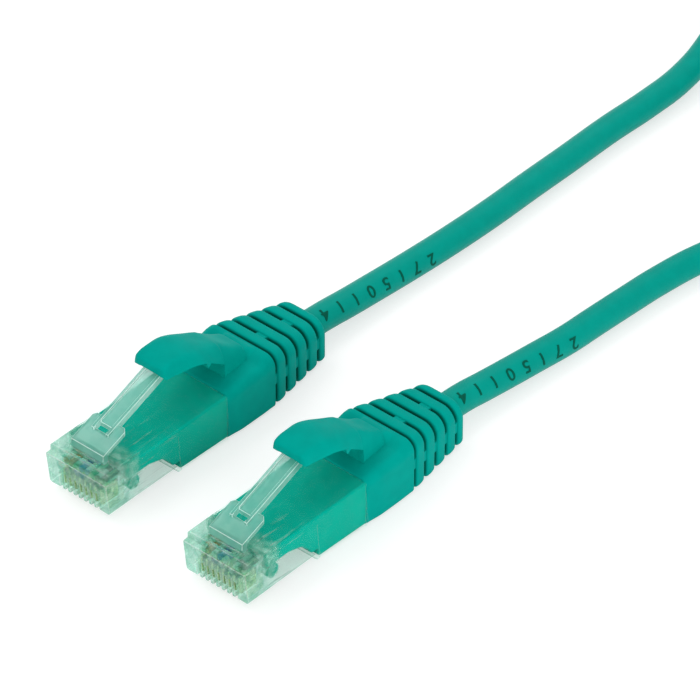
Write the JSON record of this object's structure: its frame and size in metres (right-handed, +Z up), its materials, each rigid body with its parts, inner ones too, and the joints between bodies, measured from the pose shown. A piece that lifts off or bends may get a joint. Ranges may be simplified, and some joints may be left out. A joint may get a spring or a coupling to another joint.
{
  "type": "ethernet patch cable",
  "caption": "Sea-green network patch cable: clear plugs with slotted boots and hooded latches, the cord led back to a tied coil.",
  "frame": {"origin": "on the table under the middle of the two plugs, measured without the cord", "axes": "+Z up; the plug noses point to -Y and the cord leaves them toward +Y; +X from plug A to plug B"},
  "size_m": [0.0642, 0.2058, 0.0172],
  "materials": {
    "clear_polycarbonate": "clear, faintly green, glossy",
    "green_pvc": "satin flexible PVC, sea green",
    "gold_plate": "gold plate, bright",
    "white_nylon": "satin",
    "black_hook_and_loop": "woven hook and loop, matt",
    "wire_white_orange": "satin polyethylene",
    "wire_orange": "satin polyethylene",
    "wire_white_green": "satin polyethylene",
    "wire_blue": "satin polyethylene",
    "wire_white_blue": "satin polyethylene",
    "wire_green": "satin polyethylene",
    "wire_white_brown": "satin polyethylene",
    "wire_brown": "satin polyethylene"
  },
  "bodies": {
    "cable": {"plug_a_housing": "clear_polycarbonate", "plug_a_load_bar": "white_nylon", "plug_a_boot": "green_pvc", "plug_a_jacket_end": "green_pvc", "plug_a_contact_1": "gold_plate", "plug_a_contact_2": "gold_plate", "plug_a_contact_3": "gold_plate", "plug_a_contact_4": "gold_plate", "plug_a_contact_5": "gold_plate", "plug_a_contact_6": "gold_plate", "plug_a_contact_7": "gold_plate", "plug_a_contact_8": "gold_plate", "plug_a_wire_1": "wire_white_orange", "plug_a_wire_2": "wire_orange", "plug_a_wire_3": "wire_white_green", "plug_a_wire_4": "wire_blue", "plug_a_wire_5": "wire_white_blue", "plug_a_wire_6": "wire_green", "plug_a_wire_7": "wire_white_brown", "plug_a_wire_8": "wire_brown", "plug_b_housing": "clear_polycarbonate", "plug_b_load_bar": "white_nylon", "plug_b_boot": "green_pvc", "plug_b_jacket_end": "green_pvc", "plug_b_contact_1": "gold_plate", "plug_b_contact_2": "gold_plate", "plug_b_contact_3": "gold_plate", "plug_b_contact_4": "gold_plate", "plug_b_contact_5": "gold_plate", "plug_b_contact_6": "gold_plate", "plug_b_contact_7": "gold_plate", "plug_b_contact_8": "gold_plate", "plug_b_wire_1": "wire_white_orange", "plug_b_wire_2": "wire_orange", "plug_b_wire_3": "wire_white_green", "plug_b_wire_4": "wire_blue", "plug_b_wire_5": "wire_white_blue", "plug_b_wire_6": "wire_green", "plug_b_wire_7": "wire_white_brown", "plug_b_wire_8": "wire_brown", "cord_a": "green_pvc", "cord_b": "green_pvc", "cord_coil": "green_pvc", "coil_tie": "black_hook_and_loop"},
    "hood_a": {"plug_a_hood": "green_pvc"},
    "latch_a": {"plug_a_latch": "clear_polycarbonate"},
    "hood_b": {"plug_b_hood": "green_pvc"},
    "latch_b": {"plug_b_latch": "clear_polycarbonate"}
  },
  "joints": [
    {"name": "hood_a_flex", "type": "hinge", "parent": "cable", "child": "hood_a", "pos_m": [-0.0138, 0.0074, 0.00875], "axis": [1, 0, 0], "range_deg": [0, 12], "stiffness_Nm_per_rad": 0.24},
    {"name": "latch_a_flex", "type": "hinge", "parent": "cable", "child": "latch_a", "pos_m": [-0.0138, -0.02085, 0.0081], "axis": [-1, 0, 0], "range_deg": [0, 14], "stiffness_Nm_per_rad": 0.1},
    {"name": "hood_b_flex", "type": "hinge", "parent": "cable", "child": "hood_b", "pos_m": [0.0138, 0.0062, 0.00875], "axis": [1, 0, 0], "range_deg": [0, 12], "stiffness_Nm_per_rad": 0.24},
    {"name": "latch_b_flex", "type": "hinge", "parent": "cable", "child": "latch_b", "pos_m": [0.0138, -0.02205, 0.0081], "axis": [-1, 0, 0], "range_deg": [0, 14], "stiffness_Nm_per_rad": 0.1}
  ],
  "couplings": [
    {"joint": "latch_a_flex", "follows": "hood_a_flex", "ratio": 1.1},
    {"joint": "latch_b_flex", "follows": "hood_b_flex", "ratio": 1.1}
  ]
}
